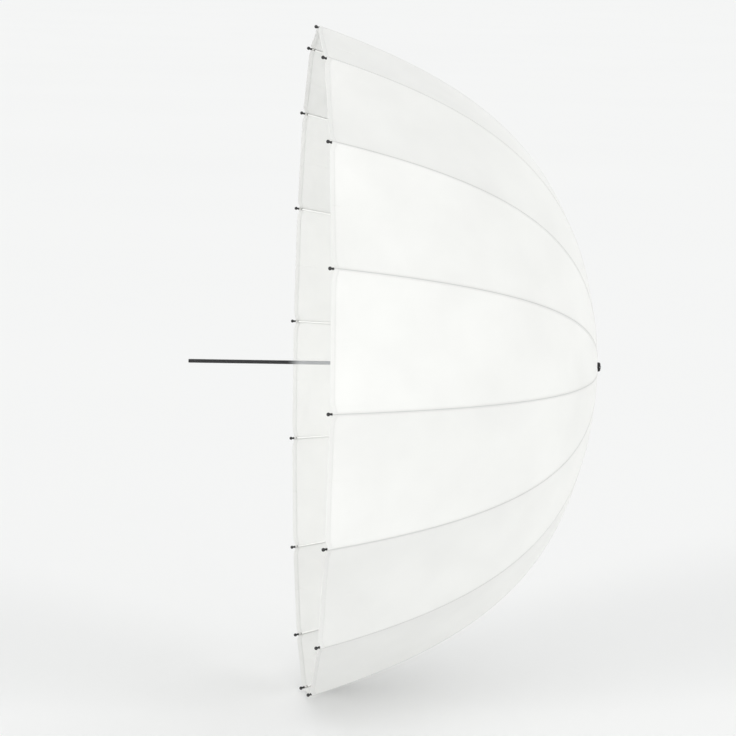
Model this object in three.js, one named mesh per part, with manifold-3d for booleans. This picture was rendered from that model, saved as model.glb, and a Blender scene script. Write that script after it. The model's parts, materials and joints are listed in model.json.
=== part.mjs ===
// A deep white umbrella reflector: a tubular shaft with a crown near its far end, sixteen
// glass-fibre ribs hinged in the crown, sixteen stretchers that a sliding runner pushes, and a
// bowl of sixteen fabric gores held by the rib tips.
//
// Millimetres. +X runs along the shaft from its grip end to the crown, +Z is up and holds rib 1.
// Rib k stands (k - 1) / 16 of a turn round the shaft, from +Z towards -Y.
// Each rib, with its stretcher, is drawn in the XZ plane and turned into its place.

import * as THREE from 'three';
import { mergeVertices } from 'three/addons/utils/BufferGeometryUtils.js';
import Module from 'manifold-3d';

const wasm = await Module();
wasm.setup();

// ---------------------------------------------------------------- driving dimensions

const ribCount = 16;
const ribPitch = (2 * Math.PI) / ribCount;
const fitGap = 0.3;

const shaftRadius = 3.5;
const shaftBore = 2.5;
const apexX = 766; // outside of the fabric, on the shaft's axis
const shaftPastApex = 4;
const plugFlange = 2.5;
const plugStemLength = 14;
const plugChamfer = 0.6;

const bowlDepth = 537;
const bowlRadius = 625;
const fabricThickness = 0.8;
const fabricHoleRadius = 4.4;
// the bowl's outline is one cubic curve: it leaves the apex and reaches the rim
// at these angles from the shaft, with these reaches of its two handles
const apexAngle = THREE.MathUtils.degToRad(84);
const apexReach = 333;
const rimAngle = THREE.MathUtils.degToRad(17.9);
const rimReach = 411;

const ribRadius = 1.5;
const ribInsideFabric = 5; // centre of the rib to the outside of the fabric, along its length
const ribInsideRim = 3.4; // the same at the rim
const tipBallRadius = 3.25;
const tipBallPastRim = 4.2;
const tipShankRadius = 2.1;
const tipShankLength = 14;

const ringRadius = 14; // both hinge rings, in the crown and in the runner
const ringWireRadius = 0.6;
const crownRingDepth = 9.5; // from the apex back to the crown's hinge ring
const eyeRadius = 2.2;
const eyeHoleRadius = 1.1;
const eyeWidth = 1.6;
const tangWidth = 2.6;
const tangLength = 7.5;
const ferruleRadius = 2;
const ferruleLength = 12;

const clipAt = 0.42; // where the stretcher's clip sits, as the rib curve's own parameter
const flexAt = 0.45; // where the rib bends as it folds
const flexGap = 0.8;
const clipPinOffset = 6; // rib centre to the clip's pin
const clipPinRadius = 0.7;
const clipLength = 10;
const earInside = 1.1;
const earThickness = 0.9;
const stretcherRadius = 1.3;

const flangeRadius = 18;
const slotWidth = eyeWidth + 2 * fitGap;
const slotInnerRadius = ringRadius - eyeRadius - 0.5;
const grooveHalfWidth = ringWireRadius + 0.4;
const hubRadius = 8.5;
const hubBore = shaftRadius + fitGap;
const plateClear = eyeRadius + 0.5; // hinge ring to the bottom of its slots

const crownFront = 5; // hinge ring to the crown's open face
const crownHubLength = 16.5; // hinge ring to the hub's end
const crownPinRadius = 1;
const crownPinFromRing = 11;
const slotRunOut = 20; // how far a hinge slot's cutter runs past the wheel's open face

const washerThickness = 1;
const washerRadius = flangeRadius - 1;
const washerFace = fabricThickness + 0.4; // both depths are from the fabric's outside
const crownBack = washerFace + washerThickness + 0.35;

const capRadius = 8.75;
const capLength = 6.5;
const coinSlotWidth = 3;
const coinSlotDepth = 3;
const screwRadius = 2.2;
const screwLength = 18;
const screwHeadRadius = 3.4;
const screwHeadLength = 1.6;

const runnerFront = 5;
const runnerHubFront = 9;
const runnerPlate = 5.2;
const runnerSleeveRadius = 7.2;
const runnerSleeveEnd = 52;
const runnerLipRadius = 10.5;
const runnerLipLength = 4;

const catchLength = 24;
const catchThickness = 1.2;
const catchProud = 2.8;
const catchHeel = 1.5; // the leaf past its pivot
const catchHeight = 1.8;

// ---------------------------------------------------------------- curves in the XZ plane

// depth is measured from the apex back towards the grip
function place(depth, radius) {
  return new THREE.Vector3(apexX - depth, 0, radius);
}

// the direction that leans from the shaft's grip-ward line by an angle, and its inward normal
function leaning(angle) {
  return new THREE.Vector3(-Math.cos(angle), 0, Math.sin(angle));
}

function inwardOf(direction) {
  return new THREE.Vector3(-direction.z, 0, direction.x).normalize();
}

const apexHandle = leaning(apexAngle);
const rimHandle = leaning(rimAngle);
const bowlCurve = new THREE.CubicBezierCurve3(
  place(0, 0),
  place(0, 0).addScaledVector(apexHandle, apexReach),
  place(bowlDepth, bowlRadius).addScaledVector(rimHandle, -rimReach),
  place(bowlDepth, bowlRadius),
);

const crownRing = place(crownRingDepth, ringRadius);
const ribCurve = new THREE.CubicBezierCurve3(
  crownRing,
  bowlCurve.v1.clone().addScaledVector(inwardOf(apexHandle), ribInsideFabric),
  bowlCurve.v2.clone().addScaledVector(inwardOf(rimHandle), ribInsideFabric),
  bowlCurve.v3.clone().addScaledVector(inwardOf(rimHandle), ribInsideRim),
);

// how far the curve's parameter moves in one millimetre, near t
function perMillimetre(curve, t) {
  const step = 0.001;
  return (2 * step) / curve.getPoint(t - step).distanceTo(curve.getPoint(t + step));
}

// a stretch of a longer curve
class Stretch extends THREE.Curve {
  constructor(whole, start, end) {
    super();
    this.whole = whole;
    this.start = start;
    this.end = end;
  }

  getPoint(t, target = new THREE.Vector3()) {
    return this.whole.getPoint(THREE.MathUtils.lerp(this.start, this.end, t), target);
  }
}

const clipTangent = ribCurve.getTangent(clipAt);
const clipInward = inwardOf(clipTangent);
const clipCentre = ribCurve.getPoint(clipAt);
const clipPin = clipCentre.clone().addScaledVector(clipInward, clipPinOffset);
// rib and stretcher are equally long from ring to pin, so the runner's ring mirrors the crown's
const runnerRing = new THREE.Vector3(2 * clipPin.x - crownRing.x, 0, ringRadius);
const catchTipX = runnerRing.x - runnerSleeveEnd - fitGap;

// ---------------------------------------------------------------- closed solids

// shared corners, no empty triangles, faces outward
function closed(geometry) {
  const bare = geometry.index ? geometry.toNonIndexed() : geometry.clone();
  bare.deleteAttribute('normal');
  bare.deleteAttribute('uv');
  const merged = mergeVertices(bare, 1e-4);
  const corner = merged.index.array;
  const at = merged.attributes.position;
  const kept = [];
  let volume = 0;
  for (let i = 0; i < corner.length; i += 3) {
    const [a, b, c] = [corner[i], corner[i + 1], corner[i + 2]];
    if (a === b || b === c || c === a) continue;
    kept.push(a, b, c);
    const [p, q, r] = [a, b, c].map((n) => new THREE.Vector3().fromBufferAttribute(at, n));
    volume += p.dot(q.cross(r));
  }
  merged.setIndex(volume < 0 ? kept.reverse() : kept);
  return merged;
}

function solid(geometry) {
  const mesh = closed(geometry);
  return new wasm.Manifold(new wasm.Mesh({
    numProp: 3,
    vertProperties: new Float32Array(mesh.attributes.position.array),
    triVerts: new Uint32Array(mesh.index.array),
  }));
}

function surface(body) {
  const mesh = body.getMesh();
  const geometry = new THREE.BufferGeometry();
  geometry.setAttribute('position', new THREE.BufferAttribute(mesh.vertProperties, 3));
  geometry.setIndex(new THREE.BufferAttribute(mesh.triVerts, 1));
  return geometry;
}

function joined(...geometries) {
  return surface(geometries.map(solid).reduce((whole, next) => whole.add(next)));
}

function cut(geometry, ...tools) {
  return surface(tools.map(solid).reduce((rest, tool) => rest.subtract(tool), solid(geometry)));
}

// an outline of [radius, x] corners swept round the shaft's axis
function turned(outline, segments) {
  const points = [...outline, outline[0]].map(([radius, x]) => new THREE.Vector2(radius, x));
  return new THREE.LatheGeometry(points, segments).rotateZ(-Math.PI / 2);
}

function roundSection(radius, sides) {
  const corners = [];
  for (let i = 0; i < sides; i += 1) {
    const turn = (2 * Math.PI * i) / sides;
    corners.push(new THREE.Vector2(radius * Math.cos(turn), radius * Math.sin(turn)));
  }
  return new THREE.Shape(corners);
}

function rod(path, radius, steps, sides = 6) {
  const settings = { extrudePath: path, steps, bevelEnabled: false };
  return new THREE.ExtrudeGeometry(roundSection(radius, sides), settings);
}

function bar(from, to, radius, sides = 6) {
  return rod(new THREE.LineCurve3(from, to), radius, 1, sides);
}

// a flat strip between two points of the XZ plane: width in the plane, thickness along Y
function strip(from, to, width, thickness) {
  const along = new THREE.Vector3().subVectors(to, from);
  const angle = Math.atan2(along.z, along.x);
  const middle = new THREE.Vector3().addVectors(from, to).multiplyScalar(0.5);
  return new THREE.BoxGeometry(along.length(), thickness, width)
    .rotateY(-angle)
    .translate(middle.x, middle.y, middle.z);
}

// an eye round a cross-wise wire or pin
function eye(centre) {
  const half = eyeWidth / 2;
  const outline = [
    [eyeHoleRadius, -half], [eyeRadius, -half], [eyeRadius, half],
    [eyeHoleRadius, half], [eyeHoleRadius, -half],
  ].map(([radius, y]) => new THREE.Vector2(radius, y));
  return new THREE.LatheGeometry(outline, 8).translate(centre.x, centre.y, centre.z);
}

// an eye with the flat tang that joins it to its rod
function eyeAndTang(centre, direction) {
  const start = centre.clone().addScaledVector(direction, (eyeRadius + eyeHoleRadius) / 2 - 0.1);
  const end = centre.clone().addScaledVector(direction, tangLength + 1);
  return [eye(centre), strip(start, end, tangWidth, eyeWidth)];
}

// ---------------------------------------------------------------- shaft and grip end

function shaftTube() {
  const start = plugFlange + fitGap;
  const end = apexX + shaftPastApex;
  const tube = turned([
    [shaftBore, start], [shaftRadius, start], [shaftRadius, end], [shaftBore, end],
  ], 20);
  const slotLength = catchLength + 4;
  const catchSlot = new THREE.BoxGeometry(slotLength, catchThickness + 2 * fitGap, 3)
    .translate(catchTipX - slotLength / 2 + 1, 0, shaftRadius);
  const pinX = crownRing.x - crownPinFromRing;
  return cut(tube, catchSlot, crossHole(pinX));
}

// a hole right through shaft and hub for the crown's pin
function crossHole(x) {
  const radius = crownPinRadius + fitGap;
  return new THREE.CylinderGeometry(radius, radius, 3 * hubRadius, 12).translate(x, 0, 0);
}

function shaftPlug() {
  const stemRadius = shaftBore - fitGap;
  return turned([
    [0, 0], [shaftRadius - plugChamfer, 0], [shaftRadius, plugChamfer], [shaftRadius, plugFlange],
    [stemRadius, plugFlange], [stemRadius, plugFlange + plugStemLength],
    [0, plugFlange + plugStemLength],
  ], 20);
}

// ---------------------------------------------------------------- crown and runner

// one radial slot for the eye of rib or stretcher k, open from x = from to x = to
function hingeSlot(index, from, to) {
  const reach = flangeRadius + 2 - slotInnerRadius;
  return new THREE.BoxGeometry(to - from, slotWidth, reach)
    .translate((from + to) / 2, 0, slotInnerRadius + reach / 2)
    .rotateX(index * ribPitch);
}

function hingeSlots(from, to) {
  return Array.from({ length: ribCount }, (_, index) => hingeSlot(index, from, to));
}

// depth of the fabric's outside below the apex, close to the shaft
function coneDepth(radius) {
  return radius / Math.tan(apexAngle);
}

function crown() {
  const ring = crownRing.x;
  const groove = ringRadius - grooveHalfWidth;
  const body = turned([
    [hubBore, apexX - crownBack - coneDepth(hubBore)],
    [flangeRadius, apexX - crownBack - coneDepth(flangeRadius)],
    [flangeRadius, ring + grooveHalfWidth], [groove, ring + grooveHalfWidth],
    [groove, ring - grooveHalfWidth], [flangeRadius, ring - grooveHalfWidth],
    [flangeRadius, ring - crownFront], [hubRadius, ring - crownFront],
    [hubRadius, ring - crownHubLength], [hubBore, ring - crownHubLength],
  ], 32);
  const slots = hingeSlots(ring - slotRunOut, ring + plateClear);
  return cut(body, ...slots, crossHole(ring - crownPinFromRing));
}

function crownPin() {
  return new THREE.CylinderGeometry(crownPinRadius, crownPinRadius, 2 * hubRadius - 0.4, 12)
    .translate(crownRing.x - crownPinFromRing, 0, 0);
}

function ringWire(x) {
  const outline = [];
  for (let i = 0; i < 6; i += 1) {
    const turn = (Math.PI * i) / 3;
    const radius = ringRadius + ringWireRadius * Math.cos(turn);
    outline.push([radius, x + ringWireRadius * Math.sin(turn)]);
  }
  return turned(outline, 2 * ribCount);
}

function runner() {
  const ring = runnerRing.x;
  const groove = ringRadius - grooveHalfWidth;
  const end = ring - runnerSleeveEnd;
  const body = turned([
    [hubBore, end], [runnerLipRadius - 1, end], [runnerLipRadius, end + 1],
    [runnerLipRadius, end + runnerLipLength], [runnerSleeveRadius, end + runnerLipLength + 2],
    [runnerSleeveRadius, ring - runnerPlate - 3], [flangeRadius - 4, ring - runnerPlate],
    [flangeRadius, ring - runnerPlate], [flangeRadius, ring - grooveHalfWidth],
    [groove, ring - grooveHalfWidth], [groove, ring + grooveHalfWidth],
    [flangeRadius, ring + grooveHalfWidth], [flangeRadius, ring + runnerFront],
    [hubRadius, ring + runnerFront], [hubRadius, ring + runnerHubFront],
    [hubBore, ring + runnerHubFront],
  ], 32);
  return cut(body, ...hingeSlots(ring - plateClear, ring + slotRunOut));
}

// a sprung leaf in the shaft's slot, its square end standing against the runner's sleeve
function runnerCatch() {
  const pivotX = catchTipX - catchLength;
  const under = 0.4;
  const tipUnder = 1.6;
  const tipTop = shaftRadius + catchProud;
  const heelTop = under + catchHeight;
  const leaf = new THREE.Shape([
    new THREE.Vector2(pivotX - catchHeel, under),
    new THREE.Vector2(catchTipX, tipUnder),
    new THREE.Vector2(catchTipX, tipTop),
    new THREE.Vector2(catchTipX - 1, tipTop),
    new THREE.Vector2(pivotX, heelTop),
    new THREE.Vector2(pivotX - catchHeel, heelTop),
  ]);
  return new THREE.ExtrudeGeometry(leaf, { depth: catchThickness, bevelEnabled: false })
    .rotateX(Math.PI / 2)
    .translate(0, catchThickness / 2, 0);
}

// ---------------------------------------------------------------- fabric bowl and its cap

function canopy() {
  const steps = 16;
  const holeAt = fabricHoleRadius / (3 * apexReach * Math.sin(apexAngle));
  const outside = [];
  const inside = [];
  for (let i = 0; i <= steps; i += 1) {
    const t = THREE.MathUtils.lerp(holeAt, 1, i / steps);
    const point = bowlCurve.getPoint(t);
    const under = point.clone()
      .addScaledVector(inwardOf(bowlCurve.getTangent(t)), fabricThickness);
    outside.push([point.z, point.x]);
    inside.push([under.z, under.x]);
  }
  return turned([...outside, ...inside.reverse()], ribCount);
}

function canopyWasher() {
  const face = (radius, depth) => [radius, apexX - depth - coneDepth(radius)];
  return turned([
    face(fabricHoleRadius, washerFace), face(washerRadius, washerFace),
    face(washerRadius, washerFace + washerThickness),
    face(fabricHoleRadius, washerFace + washerThickness),
  ], 24);
}

function topCap() {
  const base = apexX + fitGap;
  const end = base + capLength;
  const seat = apexX + shaftPastApex + fitGap;
  const body = turned([
    [hubBore, base], [capRadius - 0.5, base], [capRadius, base + 0.8],
    [capRadius, end - 2], [capRadius - 0.8, end - 0.6], [capRadius - 2.2, end],
    [screwRadius + fitGap, end], [screwRadius + fitGap, seat], [hubBore, seat],
  ], 24);
  const coinSlot = new THREE.BoxGeometry(2 * coinSlotDepth, 3 * capRadius, coinSlotWidth)
    .translate(end, 0, 0);
  return cut(body, coinSlot);
}

function capScrew() {
  const seat = apexX + capLength + 2 * fitGap;
  const point = seat - screwLength;
  const top = seat + screwHeadLength;
  return turned([
    [0, point], [screwRadius - 0.6, point], [screwRadius, point + 1],
    [screwRadius, seat], [screwHeadRadius, seat], [screwHeadRadius - 0.2, top - 0.7],
    [screwHeadRadius - 1.6, top - 0.1], [0, top],
  ], 16);
}

// ---------------------------------------------------------------- one rib and its stretcher

// steel eye and ferrule at the crown, glass-fibre rod, and the riveted clip near its far end
function ribInner() {
  const leaving = ribCurve.getTangent(0);
  const ferruleStart = crownRing.clone().addScaledVector(leaving, tangLength);
  const ferruleEnd = ferruleStart.clone().addScaledVector(leaving, ferruleLength);
  const rodStart = (tangLength + 1) * perMillimetre(ribCurve, 0.01);
  const rodEnd = flexAt - flexGap * perMillimetre(ribCurve, flexAt);
  return joined(
    rod(new Stretch(ribCurve, rodStart, rodEnd), ribRadius, 7),
    ...eyeAndTang(crownRing, leaving),
    bar(ferruleStart, ferruleEnd, ferruleRadius),
    ...clip(),
  );
}

// a sleeve crimped on the rib, with two ears and the pin that the stretcher turns on
function clip() {
  const end = clipCentre.clone().addScaledVector(clipInward, clipPinOffset + eyeRadius);
  const outerHalf = 1.7; // the sleeve's reach from the rib's centre towards the fabric
  const innerHalf = 2.3; // and away from it
  const middle = clipCentre.clone().addScaledVector(clipInward, (innerHalf - outerHalf) / 2);
  const sleeve = strip(
    middle.clone().addScaledVector(clipTangent, -clipLength / 2),
    middle.clone().addScaledVector(clipTangent, clipLength / 2),
    innerHalf + outerHalf,
    2 * (earInside + earThickness),
  );
  const ears = [-1, 1].map((side) => {
    const y = side * (earInside + earThickness / 2);
    return strip(clipCentre, end, 4.4, earThickness).translate(0, y, 0);
  });
  const pin = new THREE.CylinderGeometry(clipPinRadius, clipPinRadius, 4.6, 6)
    .translate(clipPin.x, 0, clipPin.z);
  return [sleeve, ...ears, pin];
}

// the rest of the rod, with the black shank and ball that hold the hem's corner
function ribOuter() {
  const rodStart = flexAt + flexGap * perMillimetre(ribCurve, flexAt);
  const end = ribCurve.getPoint(1);
  const leaving = ribCurve.getTangent(1);
  const ball = end.clone().addScaledVector(leaving, tipBallPastRim);
  const shankStart = ball.clone().addScaledVector(leaving, -tipShankLength);
  return joined(
    rod(new Stretch(ribCurve, rodStart, 1), ribRadius, 7),
    bar(shankStart, ball, tipShankRadius),
    new THREE.SphereGeometry(tipBallRadius, 8, 5).translate(ball.x, ball.y, ball.z),
  );
}

function stretcher() {
  const along = new THREE.Vector3().subVectors(runnerRing, clipPin).normalize();
  const rodStart = clipPin.clone().addScaledVector(along, tangLength);
  const rodEnd = runnerRing.clone().addScaledVector(along, -tangLength);
  return joined(
    ...eyeAndTang(clipPin, along),
    ...eyeAndTang(runnerRing, along.clone().negate()),
    bar(rodStart, rodEnd, stretcherRadius),
  );
}

// ---------------------------------------------------------------- assembly

const finishes = {
  steel: { color: 0xb9bcc0, roughness: 0.3, metalness: 1 },
  blackSteel: { color: 0x1a1a1c, roughness: 0.45, metalness: 0.6 },
  blackPlastic: { color: 0x18181a, roughness: 0.5, metalness: 0 },
  whiteRod: { color: 0xe9e9e6, roughness: 0.4, metalness: 0 },
  whiteFabric: { color: 0xf2f1ee, roughness: 0.85, metalness: 0 },
};

const umbrella = new THREE.Group();

function add(name, geometry, finish, turn = 0) {
  const mesh = new THREE.Mesh(closed(geometry), new THREE.MeshStandardMaterial(finishes[finish]));
  mesh.name = name;
  mesh.rotation.x = turn;
  umbrella.add(mesh);
}

add('shaft', shaftTube(), 'steel');
add('shaft_end_plug', shaftPlug(), 'blackPlastic');
add('crown', crown(), 'blackPlastic');
add('crown_ring_wire', ringWire(crownRing.x), 'steel');
add('crown_pin', crownPin(), 'steel');
add('canopy_washer', canopyWasher(), 'blackPlastic');
add('canopy', canopy(), 'whiteFabric');
add('top_cap', topCap(), 'blackPlastic');
add('cap_screw', capScrew(), 'steel');
add('runner', runner(), 'blackPlastic');
add('runner_ring_wire', ringWire(runnerRing.x), 'steel');
add('runner_catch', runnerCatch(), 'steel');

const ribParts = [
  ['rib_inner', ribInner(), 'whiteRod'],
  ['rib_outer', ribOuter(), 'whiteRod'],
  ['stretcher', stretcher(), 'blackSteel'],
];
for (let index = 0; index < ribCount; index += 1) {
  const number = String(index + 1).padStart(2, '0');
  for (const [name, geometry, finish] of ribParts) {
    add(`${name}_${number}`, geometry, finish, index * ribPitch);
  }
}

export default umbrella;
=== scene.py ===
import json
import math

import bmesh
import bpy
import numpy as np
from mathutils import Matrix, Vector


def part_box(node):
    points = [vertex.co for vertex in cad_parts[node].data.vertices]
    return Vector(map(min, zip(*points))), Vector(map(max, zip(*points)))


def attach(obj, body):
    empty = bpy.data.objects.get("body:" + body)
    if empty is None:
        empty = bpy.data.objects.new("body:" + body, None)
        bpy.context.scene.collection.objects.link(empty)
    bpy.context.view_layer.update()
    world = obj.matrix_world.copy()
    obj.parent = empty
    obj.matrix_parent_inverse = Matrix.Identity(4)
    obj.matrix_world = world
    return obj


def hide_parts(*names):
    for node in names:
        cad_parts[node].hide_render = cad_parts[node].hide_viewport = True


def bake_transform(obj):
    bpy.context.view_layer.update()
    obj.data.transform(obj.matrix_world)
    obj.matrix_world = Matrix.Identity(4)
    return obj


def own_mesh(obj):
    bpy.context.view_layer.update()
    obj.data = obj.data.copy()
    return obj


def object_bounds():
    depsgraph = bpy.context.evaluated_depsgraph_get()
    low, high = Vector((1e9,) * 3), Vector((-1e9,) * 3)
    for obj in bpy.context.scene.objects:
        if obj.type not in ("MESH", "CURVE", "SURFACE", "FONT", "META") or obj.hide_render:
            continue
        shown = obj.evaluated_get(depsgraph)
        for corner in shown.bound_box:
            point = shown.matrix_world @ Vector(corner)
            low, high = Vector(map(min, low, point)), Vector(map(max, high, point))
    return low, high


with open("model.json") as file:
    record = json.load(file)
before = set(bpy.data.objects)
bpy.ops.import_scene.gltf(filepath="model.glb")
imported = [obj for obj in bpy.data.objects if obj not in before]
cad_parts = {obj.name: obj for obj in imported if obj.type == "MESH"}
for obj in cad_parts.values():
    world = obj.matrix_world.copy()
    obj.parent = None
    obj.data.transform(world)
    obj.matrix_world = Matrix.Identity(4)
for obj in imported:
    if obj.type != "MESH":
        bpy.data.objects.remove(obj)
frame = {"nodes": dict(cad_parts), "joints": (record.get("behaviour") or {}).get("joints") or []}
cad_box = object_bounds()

# ---------- camera
# A long lens stands well back and a little above the shaft. It looks across the bowl's side,
# with the grip end to the left and the apex to the right.

camera_place = Vector((-0.08486, -5.48258, 0.76023))
camera_target = Vector((0.33543, 0, -0.00853))
camera_roll = math.radians(1.473)

lens = bpy.data.cameras.new("studio_camera")
lens.lens = 145.283
lens.sensor_width = 36
lens.clip_end = 900
camera = bpy.data.objects.new("studio_camera", lens)
bpy.context.scene.collection.objects.link(camera)
aim = (camera_target - camera_place).to_track_quat("-Z", "Y").to_matrix()
camera.matrix_world = (
    Matrix.Translation(camera_place) @ (aim @ Matrix.Rotation(camera_roll, 3, "Z")).to_4x4()
)
bpy.context.scene.camera = camera
bpy.context.scene.view_settings.view_transform = "Standard"

# ---------- studio
# A plain pale floor that runs far back, and three soft lights from low down: one from the right
# of the camera, one from its left into the bowl, and a weak one from behind.

mm = 0.001
floor_reach = 400
floor_level = cad_box[0].z - 4 * mm


def plain_mesh(name, vertices, faces):
    """A mesh of those vertices and faces, shaded smooth."""
    mesh = bpy.data.meshes.new(name)
    mesh.from_pydata([tuple(v) for v in vertices], [], [tuple(f) for f in faces])
    mesh.polygons.foreach_set("use_smooth", [True] * len(mesh.polygons))
    return mesh


def shown(name, mesh, material=None):
    """An object at the origin that shows the mesh, in one material where it is given."""
    mesh.name = name
    if material:
        mesh.materials.clear()
        mesh.materials.append(material)
    piece = bpy.data.objects.new(name, mesh)
    bpy.context.scene.collection.objects.link(piece)
    return piece


def new_material(name):
    """A node material with its tree and its shader."""
    material = bpy.data.materials.new(name)
    material.use_nodes = True
    return material, material.node_tree, material.node_tree.nodes["Principled BSDF"]


def node(tree, kind, inputs=None, **settings):
    """A node with its settings. An input is a value, an output, or a node's first output."""
    made = tree.nodes.new(kind)
    for key, value in settings.items():
        setattr(made, key, value)
    for key, value in (inputs or {}).items():
        if isinstance(value, bpy.types.Node):
            value = value.outputs[0]
        if isinstance(value, bpy.types.NodeSocket):
            tree.links.new(value, made.inputs[key])
        else:
            made.inputs[key].default_value = value
    return made


def noise_at(tree, scale, stretch=(1, 1, 1), detail=3.0):
    """Noise on the object's own coordinates, so many cells to the metre."""
    place = node(tree, "ShaderNodeTexCoord").outputs["Object"]
    mapped = node(tree, "ShaderNodeMapping", {"Vector": place, "Scale": stretch})
    return node(
        tree, "ShaderNodeTexNoise", {"Vector": mapped, "Scale": scale, "Detail": detail}
    ).outputs["Fac"]


def spread(tree, value, low, high, start=0.3, end=0.7):
    """A value brought from start..end to low..high."""
    return node(
        tree, "ShaderNodeMapRange",
        {"Value": value, "From Min": start, "From Max": end, "To Min": low, "To Max": high},
    ).outputs["Result"]


def blended(tree, share, first, second):
    """Two colours, or sockets that carry them, mixed by a share."""
    mix = node(tree, "ShaderNodeMix", data_type="RGBA")
    for index, value in ((0, share), (6, first), (7, second)):
        if isinstance(value, bpy.types.NodeSocket):
            tree.links.new(value, mix.inputs[index])
        elif index:
            mix.inputs[index].default_value = (*value, 1)
        else:
            mix.inputs[index].default_value = value
    return mix.outputs[2]


def bumped(tree, shader, height, distance, strength=1.0):
    """A bump of that distance, in metres, on the shader."""
    bump = node(
        tree, "ShaderNodeBump",
        {"Height": height, "Distance": distance, "Strength": strength},
    )
    tree.links.new(bump.outputs["Normal"], shader.inputs["Normal"])


floor_paint, tree, shader = new_material("studio_floor")
tree.links.new(
    blended(tree, noise_at(tree, 0.4), (0.89, 0.892, 0.894), (0.91, 0.912, 0.914)),
    shader.inputs["Base Color"],
)
shader.inputs["Roughness"].default_value = 1
shader.inputs["Specular IOR Level"].default_value = 0
sides = 96
rim_points = [
    (floor_reach * math.cos(2 * math.pi * i / sides),
     floor_reach * math.sin(2 * math.pi * i / sides), floor_level)
    for i in range(sides)
]
floor_mesh = plain_mesh("studio_floor", rim_points, [range(sides)])
shown("studio_floor", floor_mesh, floor_paint)

light_width = math.radians(24)


def soft_light(name, bearing, height, strength, colour=(1.0, 0.998, 0.985)):
    """A broad, far-off light from a bearing and a height above the floor, in degrees."""
    lamp = bpy.data.lights.new(name, "SUN")
    lamp.angle = light_width
    lamp.energy = strength
    lamp.color = colour
    light = bpy.data.objects.new(name, lamp)
    bpy.context.scene.collection.objects.link(light)
    bearing, height = math.radians(bearing), math.radians(height)
    shine_from = Vector((
        math.cos(height) * math.cos(bearing), math.cos(height) * math.sin(bearing),
        math.sin(height),
    ))
    light.matrix_world = shine_from.to_track_quat("Z", "Y").to_matrix().to_4x4()


soft_light("key_light", -33, 9, 1.2)
soft_light("fill_light", -145, 9, 1.5)
soft_light("back_light", 67, 24, 0.25, colour=(0.99, 0.995, 1.0))

world = bpy.data.worlds.new("studio_air")
world.use_nodes = True
air = world.node_tree.nodes["Background"].inputs
air["Color"].default_value = (0.90, 0.905, 0.90, 1)
air["Strength"].default_value = 0.94
bpy.context.scene.world = world

# ---------- shaft
# A thin steel tube carries everything. Its grip end is painted black for a hand's length and
# a half, and the rest is bare satin steel, with a slot for the leaf that holds the runner.

shaft_low, shaft_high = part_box("shaft")
shaft_radius = shaft_high.y
shaft_wall = 1.0 * mm
shaft_bore = shaft_radius - shaft_wall
catch_low, catch_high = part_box("runner_catch")
paint_end, bare_start = 0.183, 0.214


def rounded(outline, radius, steps=4):
    """A closed outline of (radius, x) corners with each corner turned into a small arc."""
    points = []
    count = len(outline)
    for i in range(count):
        before, corner, after = (np.array(outline[(i + n) % count], float) for n in (-1, 0, 1))
        if corner[0] < 1e-9:
            points.append(corner)
            continue
        arms = [before - corner, after - corner]
        reach = min(radius, *(0.45 * np.linalg.norm(arm) for arm in arms))
        start, end = (corner + reach * arm / np.linalg.norm(arm) for arm in arms)
        for step in range(steps + 1):
            share = step / steps
            points.append(
                (1 - share) ** 2 * start + 2 * share * (1 - share) * corner + share**2 * end
            )
    return points


def turned(name, outline, segments):
    """A closed outline of (radius, x) points swept round the shaft's axis."""
    vertices, faces, rings = [], [], []
    for radius, x in outline:
        if radius < 1e-9:
            rings.append([len(vertices)] * segments)
            vertices.append((x, 0, 0))
            continue
        rings.append(range(len(vertices), len(vertices) + segments))
        for i in range(segments):
            turn = 2 * math.pi * i / segments
            vertices.append((x, -radius * math.sin(turn), radius * math.cos(turn)))
    for first, second in zip(rings, rings[1:] + rings[:1]):
        for i in range(segments):
            after = (i + 1) % segments
            face = dict.fromkeys((first[i], first[after], second[after], second[i]))
            if len(face) > 2:
                faces.append(tuple(face))
    return faced(plain_mesh(name, vertices, faces))


def faced(mesh, crease=35):
    """The mesh with its faces turned outward and its hard corners kept sharp."""
    work = bmesh.new()
    work.from_mesh(mesh)
    bmesh.ops.remove_doubles(work, verts=work.verts, dist=1e-6)
    bmesh.ops.recalc_face_normals(work, faces=work.faces)
    work.to_mesh(mesh)
    work.free()
    mesh.polygons.foreach_set("use_smooth", [True] * len(mesh.polygons))
    mesh.set_sharp_from_angle(angle=math.radians(crease))
    return mesh


def evaluated(work):
    """The plain mesh that an object's modifiers give. The object is removed."""
    bpy.context.scene.collection.objects.link(work)
    graph = bpy.context.evaluated_depsgraph_get()
    mesh = bpy.data.meshes.new_from_object(work.evaluated_get(graph), depsgraph=graph)
    bpy.data.objects.remove(work)
    return mesh


def block(low, high):
    """A box between two corners, used to cut slots."""
    corners = [(x, y, z) for x in (low[0], high[0]) for y in (low[1], high[1])
               for z in (low[2], high[2])]
    sides = [(0, 1, 3, 2), (4, 6, 7, 5), (0, 4, 5, 1), (2, 3, 7, 6), (0, 2, 6, 4), (1, 5, 7, 3)]
    return plain_mesh("block", corners, sides)


def cut_away(mesh, tool):
    """The mesh with the tool's shape cut out of it."""
    cutter = bpy.data.objects.new("cutter", tool)
    bpy.context.scene.collection.objects.link(cutter)
    work = bpy.data.objects.new("work", mesh)
    modifier = work.modifiers.new("cut", "BOOLEAN")
    modifier.operation, modifier.solver, modifier.object = "DIFFERENCE", "EXACT", cutter
    result = evaluated(work)
    bpy.data.objects.remove(cutter)
    return faced(result)


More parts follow.
